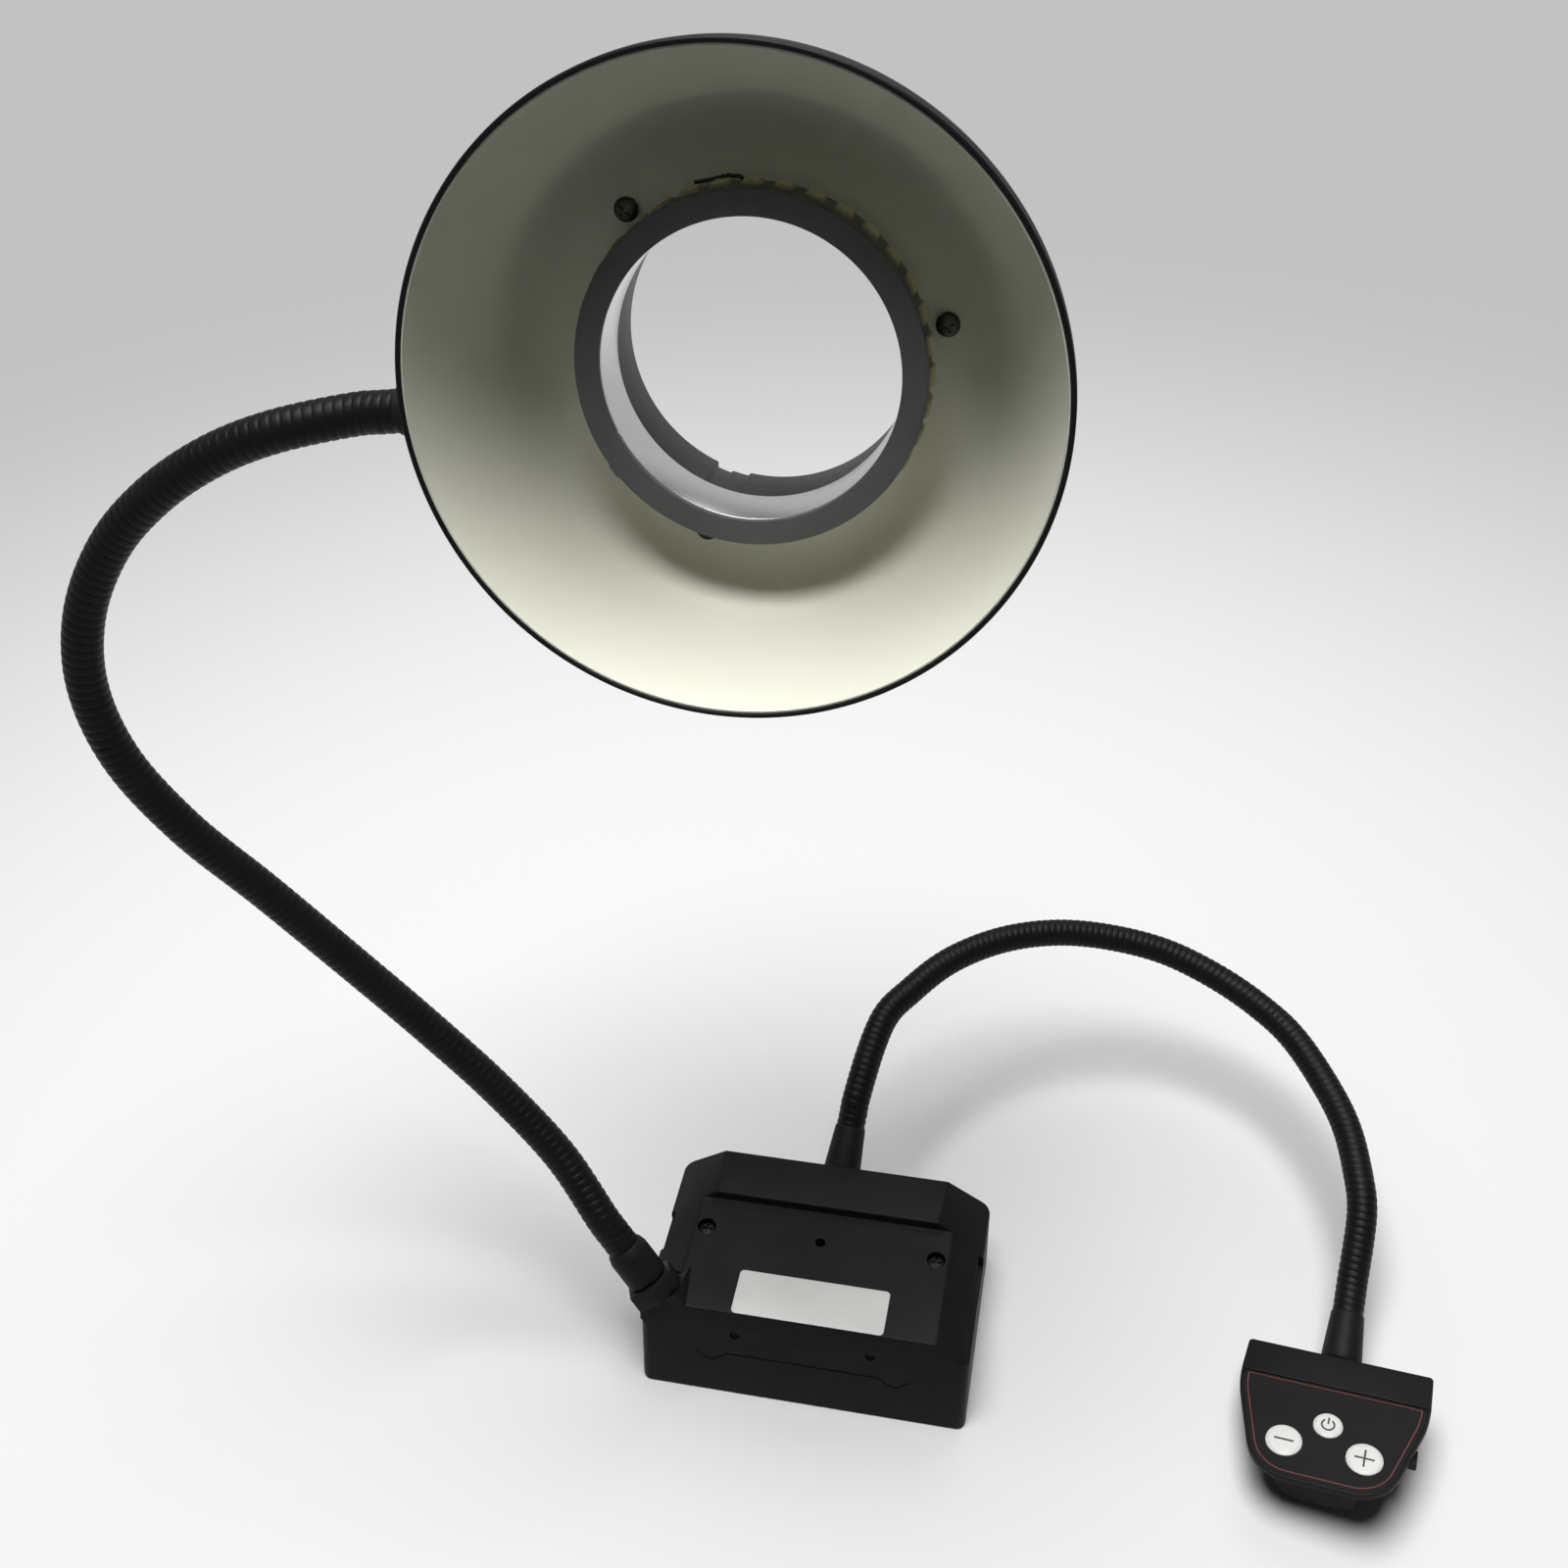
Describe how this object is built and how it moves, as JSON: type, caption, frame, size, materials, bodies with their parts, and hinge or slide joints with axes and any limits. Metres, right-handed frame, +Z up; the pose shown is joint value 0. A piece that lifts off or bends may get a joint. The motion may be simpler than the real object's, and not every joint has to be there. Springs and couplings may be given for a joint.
{
  "type": "microscope ring light",
  "caption": "Ring light for a stereo microscope: a round hood on a bendable arm over a control box, with a keypad on a second bendable arm.",
  "frame": {"origin": "middle of the control box's underside", "axes": "+X to the right along the box's front edge, +Y to the back, +Z up; the hood's open side faces -Y"},
  "size_m": [0.3552, 0.1699, 0.3643],
  "materials": {
    "black_plastic": "fine texture, satin",
    "ferrule_black": "smooth satin",
    "plate_steel": "plain",
    "board_green": "solder mask",
    "label_white": "bare, satin",
    "screw_dark": "black oxide",
    "arm_black": "semi-gloss",
    "hood_black": "black, semi-gloss",
    "reflector_warm": "satin, warm",
    "flange_grey": "matte",
    "core_silver": "turned, bright",
    "led_yellow": "matte",
    "panel_dark": "satin film",
    "button_white": "satin"
  },
  "bodies": {
    "box": {"base_housing": "black_plastic", "base_plate": "plate_steel", "driver_board": "board_green", "dc_inlet": "black_plastic", "label_plate": "label_white", "top_screw_1": "screw_dark", "top_screw_2": "screw_dark", "front_screw_1": "screw_dark", "front_screw_2": "screw_dark", "arm_nut": "arm_black", "arm_ferrule": "ferrule_black", "short_arm_ferrule": "ferrule_black", "long_arm_1": "arm_black", "short_arm_1": "arm_black"},
    "long_stretch_2": {"long_arm_2": "arm_black"},
    "long_stretch_3": {"long_arm_3": "arm_black"},
    "long_stretch_4": {"long_arm_4": "arm_black"},
    "long_stretch_5": {"long_arm_5": "arm_black"},
    "hood": {"long_arm_6": "arm_black", "hood_shell": "hood_black", "reflector": "reflector_warm", "led_core": "core_silver", "front_flange": "flange_grey", "rear_collar": "hood_black", "led_strip": "led_yellow", "hood_lead": "black_plastic", "reflector_screw_1": "screw_dark", "reflector_screw_2": "screw_dark", "reflector_screw_3": "screw_dark", "hood_collar": "ferrule_black"},
    "short_stretch_2": {"short_arm_2": "arm_black"},
    "short_stretch_3": {"short_arm_3": "arm_black"},
    "short_stretch_4": {"short_arm_4": "arm_black"},
    "keypad": {"short_arm_5": "arm_black", "keypad_body": "black_plastic", "keypad_face": "black_plastic", "keypad_panel": "panel_dark", "keypad_board": "board_green", "keypad_screw_1": "screw_dark", "keypad_screw_2": "screw_dark", "keypad_ferrule": "ferrule_black"},
    "minus_key": {"minus_button": "button_white"},
    "plus_key": {"plus_button": "button_white"},
    "power_key": {"power_button": "button_white"}
  },
  "joints": [
    {"name": "long_arm_1_bend", "type": "hinge", "parent": "box", "child": "long_stretch_2", "pos_m": [-0.07527, -0.00313, 0.06538], "axis": [0.216, 0.9533, -0.2111], "range_deg": [-20, 20]},
    {"name": "long_arm_2_bend", "type": "hinge", "parent": "long_stretch_2", "child": "long_stretch_3", "pos_m": [-0.12169, 0.00491, 0.1146], "axis": [-0.7686, 0, -0.6397], "range_deg": [-20, 20]},
    {"name": "long_arm_3_bend", "type": "hinge", "parent": "long_stretch_3", "child": "long_stretch_4", "pos_m": [-0.16069, -0.00135, 0.17033], "axis": [-0.0615, 0.9927, 0.1039], "range_deg": [-20, 20]},
    {"name": "long_arm_4_bend", "type": "hinge", "parent": "long_stretch_4", "child": "long_stretch_5", "pos_m": [-0.17301, 0.00078, 0.2348], "axis": [-0.9457, 0, 0.3249], "range_deg": [-20, 20]},
    {"name": "long_arm_5_bend", "type": "hinge", "parent": "long_stretch_5", "child": "hood", "pos_m": [-0.12511, 0.01323, 0.2787], "axis": [-0.1802, 0.9819, -0.0589], "range_deg": [-20, 20]},
    {"name": "short_arm_1_bend", "type": "hinge", "parent": "box", "child": "short_stretch_2", "pos_m": [0.00761, 0.07427, 0.05243], "axis": [-0.0964, -0.2762, 0.9563], "range_deg": [-12, 20]},
    {"name": "short_arm_2_bend", "type": "hinge", "parent": "short_stretch_2", "child": "short_stretch_3", "pos_m": [0.05904, 0.11895, 0.05667], "axis": [0.302, -0.9533, 0], "range_deg": [-15, 20]},
    {"name": "short_arm_3_bend", "type": "hinge", "parent": "short_stretch_3", "child": "short_stretch_4", "pos_m": [0.12505, 0.10808, 0.04493], "axis": [0.1157, -0.0861, 0.9895], "range_deg": [-12, 20]},
    {"name": "short_arm_4_bend", "type": "hinge", "parent": "short_stretch_4", "child": "keypad", "pos_m": [0.15538, 0.04764, 0.03277], "axis": [-0.9937, -0.1117, 0], "range_deg": [-15, 20]},
    {"name": "minus_press", "type": "slide", "parent": "keypad", "child": "minus_key", "axis": [0.1299, -0.0759, -0.9886], "range_m": [0, 0.0003], "stiffness_N_per_m": 900, "springref_m": -0.0003},
    {"name": "plus_press", "type": "slide", "parent": "keypad", "child": "plus_key", "axis": [0.1299, -0.0759, -0.9886], "range_m": [0, 0.0003], "stiffness_N_per_m": 900, "springref_m": -0.0003},
    {"name": "power_press", "type": "slide", "parent": "keypad", "child": "power_key", "axis": [0.1299, -0.0759, -0.9886], "range_m": [0, 0.0003], "stiffness_N_per_m": 900, "springref_m": -0.0003}
  ]
}
